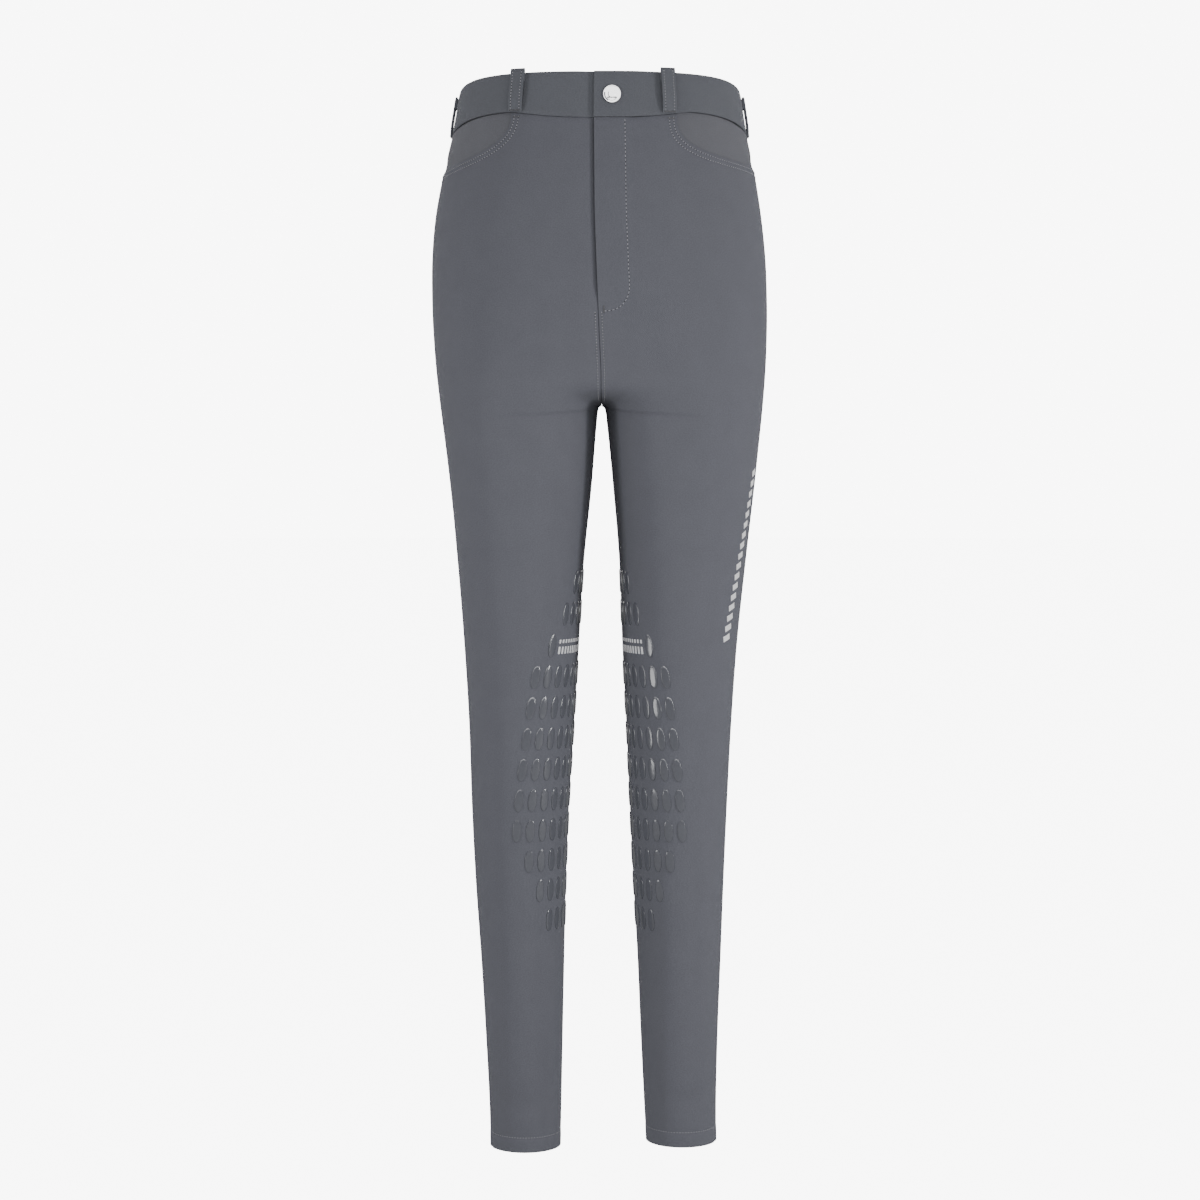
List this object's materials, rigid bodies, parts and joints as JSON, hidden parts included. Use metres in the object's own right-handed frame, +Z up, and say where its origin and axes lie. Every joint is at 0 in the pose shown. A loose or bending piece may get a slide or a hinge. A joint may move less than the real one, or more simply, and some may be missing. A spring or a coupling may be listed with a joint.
{
  "type": "riding breeches",
  "caption": "High-waisted riding breeches in plain stretch cloth, in their worn hollow form, with scoop pockets, belt loops, a snapped waistband and raised grip pads at the knees.",
  "frame": {"origin": "middle of the waistband ring, halfway up the band at the front, where the wearer's waist carries it", "axes": "+Z up, the wearer faces -Y, +X to the wearer's left"},
  "size_m": [0.3067, 0.2367, 0.9774],
  "materials": {
    "cloth": "matt stretch weave, mid grey",
    "underlay": "matt stretch weave, mid grey",
    "band": "matt stretch weave, mid grey",
    "snap": "polished, domed"
  },
  "bodies": {
    "root": {"front_left": "cloth", "front_right": "cloth", "back_left": "cloth", "back_right": "cloth", "pocket_underlay_left": "underlay", "pocket_underlay_right": "underlay", "fly_underlap": "cloth", "waistband": "band", "belt_loop_front_left": "band", "belt_loop_front_right": "band", "belt_loop_side_left": "band", "belt_loop_side_right": "band", "belt_loop_back": "band", "snap_cap": "snap", "snap_stud": "snap"}
  },
  "joints": []
}
